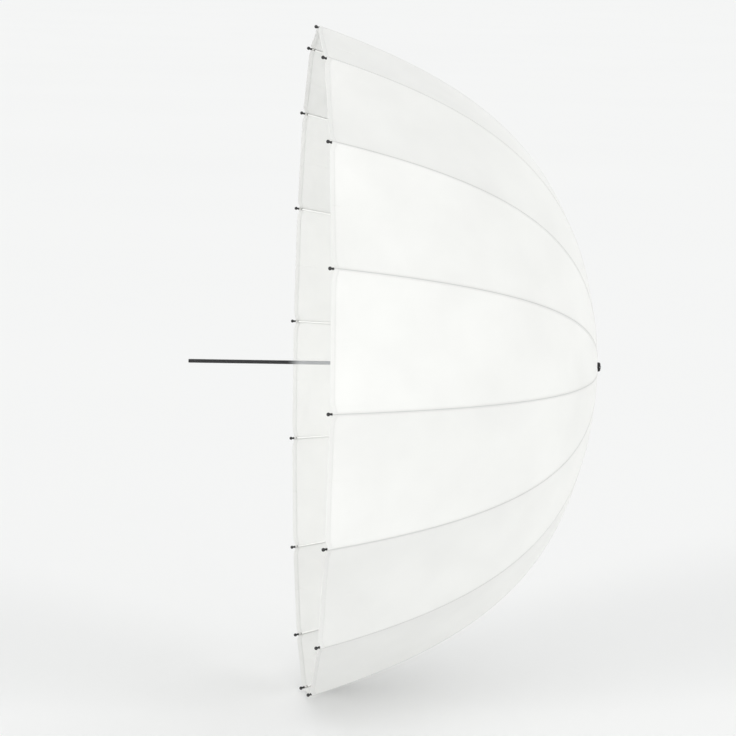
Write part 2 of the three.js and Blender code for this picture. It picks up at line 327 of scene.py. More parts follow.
shaft_finish, tree, shader = new_material("painted_and_satin_steel")
along = node(tree, "ShaderNodeSeparateXYZ",
             {"Vector": node(tree, "ShaderNodeTexCoord").outputs["Object"]}).outputs["X"]
bare = node(
    tree, "ShaderNodeMapRange",
    {"Value": along, "From Min": paint_end, "From Max": bare_start},
    interpolation_type="SMOOTHSTEP",
).outputs["Result"]
drawn = noise_at(tree, 900, (0.02, 1, 1))
steel = blended(tree, spread(tree, drawn, 0, 1), (0.52, 0.53, 0.55), (0.66, 0.67, 0.68))
paint = blended(tree, noise_at(tree, 260), (0.010, 0.010, 0.011), (0.020, 0.020, 0.022))
tree.links.new(blended(tree, bare, paint, steel), shader.inputs["Base Color"])
tree.links.new(spread(tree, bare, 0.0, 1.0, 0, 1), shader.inputs["Metallic"])
draw_marks = noise_at(tree, 700, (0.05, 1, 1))
tree.links.new(spread(tree, draw_marks, 0.27, 0.40), shader.inputs["Roughness"])
bumped(tree, shader, noise_at(tree, 2500, (0.05, 1, 1)), 0.02 * mm)

shaft_outline = rounded(
    [(shaft_bore, shaft_low.x), (shaft_radius, shaft_low.x),
     (shaft_radius, shaft_high.x), (shaft_bore, shaft_high.x)], 0.3 * mm,
)
slot_side = 0.9 * mm
catch_slot = block(
    (catch_low.x - 2 * mm, -slot_side, 1.0 * mm), (catch_high.x + 1 * mm, slot_side, 6 * mm)
)


def carried(piece, body, node_name):
    """A piece that moves with a body and stands for a CAD node."""
    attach(piece, body)
    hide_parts(node_name)


shaft_mesh = cut_away(turned("shaft_tube", shaft_outline, 48), catch_slot)
carried(
    shown("shaft_tube", shaft_mesh, shaft_finish), "shaft_and_crown", "shaft"
)

# ---------- plug in the grip end
# A moulded black plug closes the tube. Its stem is pushed into the bore, and its rounded
# flange is as wide as the tube.

plug_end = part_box("shaft_end_plug")[1].x
plug_flange = 2.5 * mm
plug_stem = shaft_bore - 0.25 * mm


def grained(name, colours, flow, roughness, wear, depth, grain, metallic=0.0):
    """A material whose two colours, roughness and bump each follow a noise of their own.

    flow, wear and grain are the noises: cells to the metre, stretch and detail.
    """
    material, tree, shader = new_material(name)
    share = spread(tree, noise_at(tree, *flow), 0, 1)
    tree.links.new(blended(tree, share, *colours), shader.inputs["Base Color"])
    worn = spread(tree, noise_at(tree, *wear), *roughness)
    tree.links.new(worn, shader.inputs["Roughness"])
    bumped(tree, shader, noise_at(tree, *grain), depth)
    shader.inputs["Metallic"].default_value = metallic
    return material


even = (1, 1, 1)
black_plastic = grained(
    "black_plastic", ((0.011, 0.011, 0.012), (0.020, 0.020, 0.021)), flow=(120,),
    roughness=(0.39, 0.53), wear=(300,), depth=0.05 * mm, grain=(3200, even, 1),
)
plug_outline = [
    (0, 0.25 * mm), (0.9 * mm, 0.25 * mm), (1.1 * mm, 0.05 * mm), (2.3 * mm, 0.1 * mm),
    (3.1 * mm, 0.45 * mm), (shaft_radius, 1.1 * mm), (shaft_radius, plug_flange),
    (plug_stem, plug_flange), (plug_stem, plug_end - 1 * mm),
    (plug_stem - 0.6 * mm, plug_end), (0, plug_end),
]
plug_mesh = turned("shaft_plug", rounded(plug_outline, 0.15 * mm, 3), 40)
carried(
    shown("shaft_plug", plug_mesh, black_plastic),
    "shaft_and_crown", "shaft_end_plug",
)

# ---------- crown
# A moulded black notched wheel, pinned to the shaft just inside the apex. Sixteen slots hold
# the ribs' eyes, and a groove holds the wire ring that they turn on.

joints = {joint["name"]: joint for joint in frame["joints"]}


def joint_place(name):
    """The (x, z) place of one of rib 1's pivots, which lie in the XZ plane."""
    x, _, z = joints[name]["pos_m"]
    return np.array((x, z))


rib_count = 16
rib_pitch = 2 * math.pi / rib_count
crown_ring = joint_place("canopy_fold")
ring_radius = crown_ring[1]
flange_radius, flange_depth = 18 * mm, 5 * mm
hub_radius = 8.5 * mm
hub_bore = shaft_radius + 0.15 * mm
eye_radius, eye_width = 2.2 * mm, 1.6 * mm
groove_half = 1.0 * mm
groove_floor = ring_radius - groove_half
slot_half = eye_width / 2 + 0.3 * mm
slot_floor = ring_radius - eye_radius - 0.5 * mm
crown_low, crown_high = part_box("crown")


def new_tree(name, sizes):
    """A Geometry Nodes tree with its named inputs, and its input and output nodes."""
    tree = bpy.data.node_groups.new(name, "GeometryNodeTree")
    sockets = tree.interface
    sockets.new_socket("Geometry", in_out="INPUT", socket_type="NodeSocketGeometry")
    for label, kind, value in sizes:
        socket = sockets.new_socket(label, in_out="INPUT", socket_type="NodeSocket" + kind)
        if value is not None:
            socket.default_value = value
    sockets.new_socket("Geometry", in_out="OUTPUT", socket_type="NodeSocketGeometry")
    return tree, tree.nodes.new("NodeGroupInput").outputs, tree.nodes.new("NodeGroupOutput")


def finished_tree(tree, geometry, material, out):
    """The tree's last nodes: instances made real, and the material set."""
    real = node(tree, "GeometryNodeRealizeInstances", {"Geometry": geometry})
    smooth = node(tree, "GeometryNodeSetShadeSmooth", {"Geometry": real})
    painted = node(tree, "GeometryNodeSetMaterial", {"Geometry": smooth, "Material": material})
    tree.links.new(painted.outputs[0], out.inputs[0])


def grown(mesh, tree, **values):
    """The plain mesh that a tree makes of a mesh, with the tree's inputs set by name."""
    work = bpy.data.objects.new("work", mesh)
    modifier = work.modifiers.new("tree", "NODES")
    modifier.node_group = tree
    for item in tree.interface.items_tree:
        key = item.name.lower().replace(" ", "_")
        if item.in_out == "INPUT" and key in values:
            modifier[item.identifier] = values[key]
    return evaluated(work)


round_shaft, given, out = new_tree(
    "repeated_round_the_shaft",
    [("Count", "Int", 16), ("Material", "Material", None)],
)
row = node(round_shaft, "GeometryNodeMeshLine", {"Count": given["Count"], "Offset": (0, 0, 0)})
step = node(
    round_shaft, "ShaderNodeMath", {0: 2 * math.pi, 1: given["Count"]}, operation="DIVIDE"
)
turn = node(
    round_shaft, "ShaderNodeMath",
    {0: node(round_shaft, "GeometryNodeInputIndex"), 1: step},
    operation="MULTIPLY",
)
turning = node(round_shaft, "ShaderNodeCombineXYZ", {"X": turn})
repeated = node(
    round_shaft, "GeometryNodeInstanceOnPoints",
    {"Points": row, "Instance": given["Geometry"], "Rotation": turning},
)
finished_tree(round_shaft, repeated, given["Material"], out)


def hinge_slots(start, end):
    """Sixteen radial slots between two places along the shaft."""
    slot = block((start, -slot_half, slot_floor), (end, slot_half, flange_radius + 2 * mm))
    return grown(slot, round_shaft, count=rib_count, material=black_plastic)


crown_x = crown_ring[0]
crown_outline = [
    (hub_bore, crown_high.x), (flange_radius, crown_high.x - 1.0 * mm),
    (flange_radius, crown_x + groove_half), (groove_floor, crown_x + groove_half),
    (groove_floor, crown_x - groove_half), (flange_radius, crown_x - groove_half),
    (flange_radius, crown_x - flange_depth), (hub_radius, crown_x - flange_depth),
    (hub_radius, crown_low.x), (hub_bore, crown_low.x),
]
crown_mesh = cut_away(
    turned("crown_wheel", rounded(crown_outline, 0.5 * mm), 96),
    hinge_slots(crown_x - 20 * mm, crown_x + eye_radius + 0.5 * mm),
)
carried(
    shown("crown_wheel", crown_mesh, black_plastic), "shaft_and_crown", "crown"
)

# ---------- crown's wire, pin and washer
# A ring of bright wire lies in the crown's groove through all the ribs' eyes. A cross pin
# holds the hub on the shaft, and a washer spreads the fabric over the wheel's back.

bright_steel = grained(
    "bright_steel", ((0.56, 0.57, 0.59), (0.72, 0.73, 0.74)), flow=(700,),
    roughness=(0.19, 0.36), wear=(500,), depth=0.01 * mm, grain=(2200, even, 1), metallic=1,
)

rod_tree, given, out = new_tree(
    "rod_on_a_path", [("Sides", "Int", 12), ("Material", "Material", None)]
)
path = node(rod_tree, "GeometryNodeMeshToCurve", {"Mesh": given["Geometry"]})
thickness = node(
    rod_tree, "GeometryNodeInputNamedAttribute", {"Name": "rod_radius"}, data_type="FLOAT"
)
sized = node(rod_tree, "GeometryNodeSetCurveRadius", {"Curve": path, "Radius": thickness})
section = node(
    rod_tree, "GeometryNodeCurvePrimitiveCircle", {"Resolution": given["Sides"], "Radius": 1.0}
)
swept = node(
    rod_tree, "GeometryNodeCurveToMesh",
    {"Curve": sized, "Profile Curve": section, "Fill Caps": True},
)
if "Scale" in swept.inputs:
    rod_tree.links.new(
        node(rod_tree, "GeometryNodeInputRadius").outputs[0], swept.inputs["Scale"]
    )
finished_tree(rod_tree, swept, given["Material"], out)


def path_mesh(points, radii, closed=False):
    """Edges along points, each with the radius of the rod that follows them."""
    count = len(points)
    edges = [(i, (i + 1) % count) for i in range(count if closed else count - 1)]
    mesh = bpy.data.meshes.new("path")
    mesh.from_pydata([tuple(map(float, p)) for p in points], edges, [])
    sizes = mesh.attributes.new("rod_radius", "FLOAT", "POINT")
    sizes.data.foreach_set("value", np.broadcast_to(radii, count).astype(np.float32).copy())
    return mesh


def rod(points, radii, sides, material, closed=False):
    """A rod along points, closed at its ends, or a ring."""
    path = path_mesh(points, radii, closed)
    return faced(grown(path, rod_tree, sides=sides, material=material), 50)


wire_radius = 0.6 * mm


def wire_ring(name, x, body, node_name):
    """A hinge ring: bright wire in a circle round the shaft."""
    turns = np.linspace(0, 2 * math.pi, 96, endpoint=False)
    circle = np.stack(
        [np.full(96, x), ring_radius * np.sin(turns), ring_radius * np.cos(turns)], axis=1
    )
    piece = shown(name, rod(circle, wire_radius, 10, bright_steel, closed=True))
    carried(piece, body, node_name)


wire_ring("crown_wire", crown_x, "shaft_and_crown", "crown_ring_wire")


def refinish(name, material):
    """A CAD node that stays as it is, with a finish of its own."""
    kept = frame["nodes"][name].data
    kept.materials.clear()
    kept.materials.append(material)


refinish("crown_pin", bright_steel)
refinish("canopy_washer", black_plastic)

# ---------- cap and screw
# A black turned cap clamps the fabric on the crown from outside. It is dished, and a plated
# cross-head screw down the shaft's bore holds it.

cap_low, cap_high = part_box("top_cap")
cap_radius = cap_high.y
cap_outline = [
    (hub_bore, cap_low.x), (cap_radius - 0.7 * mm, cap_low.x), (cap_radius, cap_low.x + 0.7 * mm),
    (cap_radius, cap_high.x - 1.8 * mm), (cap_radius - 0.9 * mm, cap_high.x - 0.4 * mm),
    (cap_radius - 2.2 * mm, cap_high.x), (5.2 * mm, cap_high.x), (4.6 * mm, cap_high.x - 0.5 * mm),
    (2.6 * mm, cap_high.x - 0.5 * mm), (2.6 * mm, cap_high.x - 2.4 * mm),
    (hub_bore, cap_high.x - 2.6 * mm),
]
cap_mesh = turned("cap_wheel", rounded(cap_outline, 0.35 * mm), 96)
knurl = block(
    (cap_low.x + 1.4 * mm, -0.22 * mm, cap_radius - 0.25 * mm),
    (cap_high.x - 2.2 * mm, 0.22 * mm, cap_radius + 1 * mm),
)
cap_mesh = cut_away(cap_mesh, grown(knurl, round_shaft, count=36, material=black_plastic))
slot_depth, slot_half_width = 3 * mm, 1.5 * mm
coin_slot = block(
    (cap_high.x - slot_depth, -cap_radius - 1 * mm, -slot_half_width),
    (cap_high.x + 1 * mm, cap_radius + 1 * mm, slot_half_width),
)
cap_mesh = cut_away(cap_mesh, coin_slot)
carried(
    shown("cap_wheel", cap_mesh, black_plastic), "shaft_and_crown", "top_cap"
)

screw_low, screw_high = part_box("cap_screw")
head_base = screw_high.x - 1.6 * mm
screw_outline = [
    (0, screw_low.x), (1.5 * mm, screw_low.x), (2.2 * mm, screw_low.x + 1 * mm),
    (2.2 * mm, head_base), (3.4 * mm, head_base), (3.4 * mm, head_base + 0.5 * mm),
    (3.0 * mm, head_base + 1.1 * mm), (2.2 * mm, head_base + 1.5 * mm), (0, screw_high.x),
]
screw_mesh = turned("cap_screw_head", rounded(screw_outline, 0.3 * mm), 48)
for cross in ((0.35, 1.9), (1.9, 0.35)):
    recess = block(
        (head_base + 0.4 * mm, -cross[0] * mm, -cross[1] * mm),
        (screw_high.x + 1 * mm, cross[0] * mm, cross[1] * mm),
    )
    screw_mesh = cut_away(screw_mesh, recess)
carried(
    shown("cap_screw_head", screw_mesh, bright_steel),
    "shaft_and_crown", "cap_screw",
)

# ---------- bowl's outline
# Every rib holds the fabric to one long curve, from the apex round to the rim. The outline
# lies in the rib's own plane, as (x, radius), and each rib's plane is turned round the shaft.

rim_x, rim_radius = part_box("canopy")[0].x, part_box("canopy")[1].z
apex = np.array((crown_x + 9.5 * mm, 0.0))
apex_angle, apex_reach = math.radians(84), 333 * mm
rim_angle, rim_reach = math.radians(17.9), 411 * mm


def leaning(angle):
    """The direction that leans outward from the grip-ward line by an angle."""
    return np.array((-math.cos(angle), math.sin(angle)))


def inward(direction):
    """The direction at right angles, towards the inside of the bowl."""
    return np.array((-direction[1], direction[0]))


rim = np.array((rim_x, rim_radius))
bowl_handles = [
    apex, apex + apex_reach * leaning(apex_angle), rim - rim_reach * leaning(rim_angle), rim,
]


def on_curve(handles, t):
    """Points of a cubic curve at parameters t."""
    t = np.asarray(t, float)[..., None]
    a, b, c, d = handles
    return (1 - t) ** 3 * a + 3 * t * (1 - t) ** 2 * b + 3 * t**2 * (1 - t) * c + t**3 * d


def heading(handles, t):
    """Unit directions of a cubic curve at parameters t."""
    t = np.asarray(t, float)[..., None]
    a, b, c, d = handles
    slope = (1 - t) ** 2 * (b - a) + 2 * t * (1 - t) * (c - b) + t**2 * (d - c)
    return slope / np.linalg.norm(slope, axis=-1, keepdims=True)


def turned_to(rib, vertices):
    """Points of the XZ plane's rib turned round the shaft to a rib's place."""
    turn = rib * rib_pitch
    x, y, z = np.asarray(vertices).T
    return np.stack(
        [x, y * math.cos(turn) - z * math.sin(turn), y * math.sin(turn) + z * math.cos(turn)],
        axis=1,
    )


def number(rib):
    """A rib's two-figure number, from 01 at the top."""
    return f"{rib + 1:02d}"


# ---------- rib rods
# Each rib is one pultruded glass-fibre rod, white and slightly glossy, that runs along both of its
# two rigid CAD halves. It lies close under the seam and ends inside the black tip.

rod_radius = 1.6 * mm
clip_pin = joint_place("stretcher_01_pivot")
# shares of the way along the rib's curve
clip_at, flex_at = 0.42, 0.45
under_seam, under_hem = 5.0 * mm, 3.4 * mm
rod_handles = [
    crown_ring,
    bowl_handles[1] + under_seam * inward(leaning(apex_angle)),
    bowl_handles[2] + under_hem * inward(leaning(rim_angle)),
    bowl_handles[3] + under_hem * inward(leaning(rim_angle)),
]

white_rod = grained(
    "white_glass_fibre", ((0.82, 0.83, 0.82), (0.90, 0.90, 0.88)),
    flow=(1500, (0.04, 1, 0.04)), roughness=(0.30, 0.42), wear=(260,),
    depth=0.015 * mm, grain=(1800, (0.05, 1, 0.05)),
)


def in_space(points):
    """(x, radius) points as points of the XZ plane."""
    points = np.atleast_2d(points)
    return np.stack([points[:, 0], np.zeros(len(points)), points[:, 1]], axis=1)


rod_start = 0.0095  # inside the ferrule
rod_spots = np.concatenate(
    [np.linspace(rod_start, 0.40, 30), np.linspace(0.41, 0.53, 22), np.linspace(0.55, 1, 30)]
)
rod_mesh = rod(in_space(on_curve(rod_handles, rod_spots)), rod_radius, 12, white_rod)


def points_of(mesh):
    """A mesh's vertices as an array."""
    co = np.zeros(len(mesh.vertices) * 3)
    mesh.vertices.foreach_get("co", co)
    return co.reshape(-1, 3)


def copy_at(rib, name, mesh):
    """A copy of rib 1's mesh, turned to a rib's place."""
    copy = mesh.copy()
    copy.vertices.foreach_set("co", turned_to(rib, points_of(mesh)).ravel())
    return shown(name, copy)


for rib in range(rib_count):
    piece = copy_at(rib, f"rib_rod_{number(rib)}", rod_mesh)
    halves = f"rib_inner_{number(rib)}", f"rib_outer_{number(rib)}"
    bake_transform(piece)
    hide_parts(*halves)

# ---------- rib eyes, ferrules and clips
# A pressed steel eye turns on the crown's ring, and its ferrule is crimped on the rod. Past
# the middle a folded clip is crimped round the rod, with two ears that hold the stretcher.

steel_fitting = grained(
    "zinc_plated_steel", ((0.50, 0.50, 0.50), (0.66, 0.66, 0.65)), flow=(700,),
    roughness=(0.27, 0.44), wear=(500,), depth=0.01 * mm, grain=(2200, even, 1), metallic=1,
)


def stacked(parts):
    """Several parts, each with its vertices and faces, as one."""
    vertices, faces = [], []
    for part, part_faces in parts:
        start = sum(len(v) for v in vertices)
        vertices.append(part)
        faces += [tuple(start + v for v in face) for face in part_faces]
    return np.concatenate(vertices), faces


def part_of(mesh):
    """A mesh's vertices and faces."""
    return points_of(mesh), [tuple(face.vertices) for face in mesh.polygons]


def joined(meshes, materials):
    """Several meshes as one, each with its own material."""
    kinds = list(dict.fromkeys(materials))
    which = [kinds.index(m) for mesh, m in zip(meshes, materials) for _ in mesh.polygons]
    whole = plain_mesh("joined", *stacked(part_of(mesh) for mesh in meshes))
    for kind in kinds:
        whole.materials.append(kind)
    whole.polygons.foreach_set("material_index", which)
    whole.set_sharp_from_angle(angle=math.radians(38))
    return whole


def pin_turned(centre, outline, segments=20):
    """A closed outline of (radius, y) points swept round a cross-wise pin at a place."""
    mesh = turned("pin_turned", outline, segments)
    x, y, z = points_of(mesh).T
    mesh.vertices.foreach_set(
        "co", np.stack([centre[0] + z, x, centre[1] + y], axis=1).ravel()
    )
    return faced(mesh)


def pressed_eye(centre):
    """A flat pressed eye round a pin or wire."""
    half, hole = eye_width / 2, 1.0 * mm
    corners = [(hole, -half), (eye_radius, -half), (eye_radius, half), (hole, half)]
    return pin_turned(centre, rounded(corners, 0.25 * mm, 3))


def lofted(centres, inward_half, cross_half, sides=14, power=2.6):
    """A bar along (x, radius) points whose section changes from round to flat."""
    centres = np.asarray(centres, float)
    along = np.gradient(centres, axis=0)
    along /= np.linalg.norm(along, axis=1, keepdims=True)
    vertices = []
    for centre, direction, tall, wide in zip(centres, along, inward_half, cross_half):
        side = inward(direction)
        for i in range(sides):
            turn = 2 * math.pi * i / sides
            c, s = math.cos(turn), math.sin(turn)
            tight = 2 / (power if abs(tall - wide) > 0.05 * mm else 2)
            a = tall * math.copysign(abs(c) ** tight, c)
            b = wide * math.copysign(abs(s) ** tight, s)
            vertices.append((centre[0] + a * side[0], b, centre[1] + a * side[1]))
    rows = len(centres)
    faces = [
        (r * sides + i, r * sides + (i + 1) % sides,
         (r + 1) * sides + (i + 1) % sides, (r + 1) * sides + i)
        for r in range(rows - 1) for i in range(sides)
    ]
    faces += [tuple(range(sides)), tuple(range((rows - 1) * sides, rows * sides))]
    return faced(plain_mesh("lofted", vertices, faces), 40)


# the tang widens from the flat eye to the round ferrule
leaving = heading(rod_handles, 0.0)
tang_spots = np.array([1.6, 3.0, 5.0, 6.4, 7.4, 8.2]) * mm
tang_tall = np.array([1.5, 1.35, 1.35, 1.5, 1.8, 1.9]) * mm
tang_wide = np.array([0.8, 0.8, 0.8, 1.1, 1.7, 1.9]) * mm
tang = lofted([crown_ring + d * leaving for d in tang_spots], tang_tall, tang_wide)
# the ferrule follows the rod and narrows at its two crimps
ferrule_span = np.linspace(0.0072, 0.0205, 23)
crimps = sum(np.exp(-(((ferrule_span - at) / 0.0009) ** 2)) for at in (0.0115, 0.0170))
ferrule_radius = 2.15 * mm - 0.3 * mm * crimps
ferrule = rod(in_space(on_curve(rod_handles, ferrule_span)), ferrule_radius, 16, steel_fitting)

clip_centre = on_curve(rod_handles, clip_at)
clip_heading = heading(rod_handles, clip_at)
clip_inward = inward(clip_heading)
clip_half = 6.5 * mm
clip_spots = np.linspace(-clip_half, clip_half, 15)
pinch = 1 - 0.10 * np.exp(-((np.abs(clip_spots) - 4.2 * mm) / (0.8 * mm)) ** 2)
clip_sleeve = lofted(
    [clip_centre + d * clip_heading for d in clip_spots],
    2.15 * mm * pinch, 2.05 * mm * pinch, 18, 2.4,
)
ear_foot, ear_round = 4.6 * mm, 2.3 * mm
ear_inside, ear_thick = 1.05 * mm, 0.8 * mm


def clip_ear(side):
    """One ear of the clip: a plate with a round end, standing from the sleeve to the pin."""
    outline = [clip_centre + ear_foot * clip_heading, clip_centre - ear_foot * clip_heading]
    for i in range(9):
        turn = math.pi * i / 8
        out = math.sin(turn) * clip_inward - math.cos(turn) * clip_heading
        outline.append(clip_pin + ear_round * out)
    near, far = side * ear_inside, side * (ear_inside + ear_thick)
    vertices = [(p[0], y, p[1]) for y in (near, far) for p in outline]
    count = len(outline)
    faces = [(i, (i + 1) % count, count + (i + 1) % count, count + i) for i in range(count)]
    faces += [tuple(range(count)), tuple(range(count, 2 * count))]
    return faced(plain_mesh("ear", vertices, faces))


rivet = rounded(
    [(0, -2.7 * mm), (1.0 * mm, -2.7 * mm), (1.35 * mm, -2.3 * mm), (1.35 * mm, -1.95 * mm),
     (0.75 * mm, -1.85 * mm), (0.75 * mm, 1.85 * mm), (1.35 * mm, 1.95 * mm),
     (1.35 * mm, 2.3 * mm), (1.0 * mm, 2.7 * mm), (0, 2.7 * mm)], 0.12 * mm, 2,
)
fitting_parts = [
    pressed_eye(crown_ring), tang, ferrule, clip_sleeve, clip_ear(-1), clip_ear(1),
    pin_turned(clip_pin, rivet, 16),
]

# ---------- thread ties
# White bonded thread is wound three times round the rod and caught in the seam, at five
# places along each rib, so that the rod can't wander from under it.

twist = (2600, even, 1)
white_thread = grained(
    "white_thread", ((0.62, 0.62, 0.60), (0.78, 0.78, 0.76)), flow=twist,
    roughness=(0.55, 0.8), wear=twist, depth=0.05 * mm, grain=twist,
)
thread_radius, thread_step = 0.28 * mm, 0.62 * mm


def tie_at(t, turns=3, around=rod_radius, loop=0.7 * mm):
    """A thread wound round the rod, with its loop reaching out to the seam."""
    centre, ahead = on_curve(rod_handles, t), heading(rod_handles, t)
    side = inward(ahead)
    points = []
    for i in range(turns * 12 + 1):
        turn = 2 * math.pi * i / 12
        reach = around + thread_radius
        out = -loop * max(0.0, -math.cos(turn)) ** 4
        place = centre + (i / 12 - turns / 2) * thread_step * ahead
        place = place + (reach * math.cos(turn) + out) * side
        points.append((place[0], reach * math.sin(turn), place[1]))
    return rod(points, thread_radius, 6, white_thread)


fitting = joined(
    fitting_parts + [tie_at(t) for t in (0.14, 0.29)],
    [steel_fitting] * len(fitting_parts) + [white_thread] * 2,
)


def one_on_each(body, name, mesh):
    """A copy of rib 1's mesh at every rib, where it moves with and stands for that body."""
    for rib in range(rib_count):
        own = f"{body}_{number(rib)}"
        carried(copy_at(rib, f"{name}_{number(rib)}", mesh), own, own)


one_on_each("rib_inner", "rib_fittings", fitting)

# ---------- rib tips
# A moulded black socket takes the rod's end and carries a round ball. The hem's corner is
# sewn to its neck.

tip_leaving = heading(rod_handles, 1.0)
rod_end = on_curve(rod_handles, 1.0)
ball_centre = rod_end + 4.2 * mm * tip_leaving
ball_radius = 3.25 * mm
# (radius, distance back from the ball's centre) along the socket
tip_outline = [
    (ball_radius * math.sin(a), -ball_radius * math.cos(a)) for a in np.linspace(0, 2.45, 15)
] + [(1.75 * mm, 3.2 * mm), (1.7 * mm, 4.2 * mm), (2.3 * mm, 4.6 * mm), (2.35 * mm, 5.6 * mm),
     (2.0 * mm, 6.0 * mm), (1.9 * mm, 12.2 * mm), (1.75 * mm, 13.0 * mm), (0, 13.0 * mm)]


def swept_on(start, direction, outline):
    """A turned shape whose axis runs from a place along a direction of the XZ plane."""
    mesh = turned("swept_on", outline, 24)
    x, y, z = points_of(mesh).T
    side = inward(direction)
    mesh.vertices.foreach_set("co", np.stack(
        [start[0] + x * direction[0] + z * side[0], y, start[1] + x * direction[1] + z * side[1]],
        axis=1,
    ).ravel())
    return faced(mesh, 45)


tip_socket = swept_on(ball_centre, -tip_leaving, tip_outline)
tip = joined(
    [tip_socket] + [tie_at(t) for t in (0.60, 0.74, 0.88)]
    + [tie_at(t, 4, 1.95 * mm, 1.9 * mm) for t in (0.9945, 0.9965)],
    [black_plastic] + [white_thread] * 5,
)
one_on_each("rib_outer", "rib_tip", tip)

# ---------- stretchers
# Sixteen straight black-coated steel rods push the ribs out. Each end is flattened and
# pierced, one eye on the clip's rivet and the other on the runner's ring.

black_steel = grained(
    "black_coated_steel", ((0.018, 0.018, 0.020), (0.036, 0.036, 0.038)), flow=(1400,),
    roughness=(0.32, 0.48), wear=(500,), depth=0.02 * mm, grain=(2400, even, 1), metallic=0.35,
)

runner_ring = np.array((joint_place("runner_pivot")[0], ring_radius))
stretcher_span = np.linalg.norm(runner_ring - clip_pin)
stretcher_way = (runner_ring - clip_pin) / stretcher_span
end_spots = np.array([1.5, 3.0, 4.6, 6.0, 7.5, 9.0, 11.0]) * mm
end_tall = np.array([1.7, 1.75, 1.6, 1.45, 1.35, 1.3, 1.3]) * mm
end_wide = np.array([0.78, 0.78, 0.8, 0.95, 1.12, 1.26, 1.3]) * mm
spots = np.concatenate([end_spots, stretcher_span - end_spots[::-1]])
bar = lofted(
    [clip_pin + spot * stretcher_way for spot in spots],
    np.concatenate([end_tall, end_tall[::-1]]), np.concatenate([end_wide, end_wide[::-1]]), 16,
)
stretcher_parts = [pressed_eye(clip_pin), bar, pressed_eye(runner_ring)]
stretcher = joined(stretcher_parts, [black_steel] * 3)
one_on_each("stretcher", "stretcher_rod", stretcher)

# ---------- runner, its wire and the catch
# A moulded black sleeve slides on the shaft. Its slotted flange holds the stretchers on a
# second wire ring, its sleeve is fluted for the fingers, and a sprung steel leaf stops it.

runner_low, runner_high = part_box("runner")
ring_x = runner_ring[0]
sleeve_radius, grip_radius = 7.2 * mm, 10.5 * mm
shoulder_x = ring_x - 5.2 * mm
runner_outline = [
    (hub_bore, runner_low.x), (grip_radius - 1 * mm, runner_low.x),
    (grip_radius, runner_low.x + 1 * mm), (grip_radius, runner_low.x + 4 * mm),
    (sleeve_radius, runner_low.x + 6 * mm), (sleeve_radius, shoulder_x - 3 * mm),
    (14 * mm, shoulder_x), (flange_radius, shoulder_x), (flange_radius, ring_x - groove_half),
    (groove_floor, ring_x - groove_half), (groove_floor, ring_x + groove_half),
    (flange_radius, ring_x + groove_half), (flange_radius, ring_x + flange_depth),
    (hub_radius, ring_x + flange_depth), (hub_radius, runner_high.x), (hub_bore, runner_high.x),
]
runner_mesh = cut_away(
    turned("runner_sleeve", rounded(runner_outline, 0.6 * mm), 96),
    hinge_slots(ring_x - eye_radius - 0.5 * mm, ring_x + 20 * mm),
)
flute_ends = (runner_low.x + 9 * mm, ring_x - 13 * mm)
flute = rod(
    [(x, 0, sleeve_radius - 0.15 * mm) for x in np.linspace(*flute_ends, 9)],
    0.62 * mm * np.sin(np.linspace(0.25, math.pi - 0.25, 9)) ** 0.35, 8, black_plastic,
)
flutes = grown(flute, round_shaft, count=20, material=black_plastic)
runner_mesh = joined([runner_mesh, flutes], [black_plastic] * 2)
carried(shown("runner_sleeve", runner_mesh), "runner", "runner")
wire_ring("runner_wire", ring_x, "runner", "runner_ring_wire")
refinish("runner_catch", bright_steel)

# ---------- fabric bowl
# Sixteen gores of white nylon taffeta, twin-needle sewn along the ribs and hemmed at the rim.
# Each rib carries half a gore on either side in six lengths. The first is clamped at the apex
# and stays there, and the others move with the rib's inner or outer half.

cloth = 0.35 * mm
lap_half, lap_rise = 3.4 * mm, 0.32 * mm
hem_width, hem_rise = 8.5 * mm, 0.35 * mm
needle_row = 0.7 * lap_half
above_cloth = 0.04 * mm
gore_bow, gore_width = 4.0 * mm, 243.8 * mm
half_turn = rib_pitch / 2
hole_radius = 4.4 * mm
hole_at = hole_radius / (3 * apex_reach * math.sin(apex_angle))
# the seam's length, from the apex, at close steps of the curve's parameter
fine = np.linspace(0, 1.01, 4041)
fine_points = on_curve(bowl_handles, fine)
fine_length = np.concatenate(
    [[0], np.cumsum(np.linalg.norm(np.diff(fine_points, axis=0), axis=1))]
)
whole_length = float(np.interp(1.0, fine, fine_length))
# long shallow waves in each gore: height, widths across and down, and shift
draw = np.random.default_rng(16)
waves = [
    (a * mm, 1 / wide, 1 / long, draw.uniform(0, 2 * math.pi, rib_count))
    for a, wide, long in (
        (0.42, 0.31, 0.26), (0.34, -0.22, 0.17), (0.24, 0.16, 0.105), (0.15, 0.09, -0.075),
    )
]
phase = draw.uniform(0, 2 * math.pi, (4, rib_count))


def eased(value):
    """0 below 0, 1 above 1, and smooth between."""
    value = np.clip(value, 0, 1)
    return value * value * (3 - 2 * value)


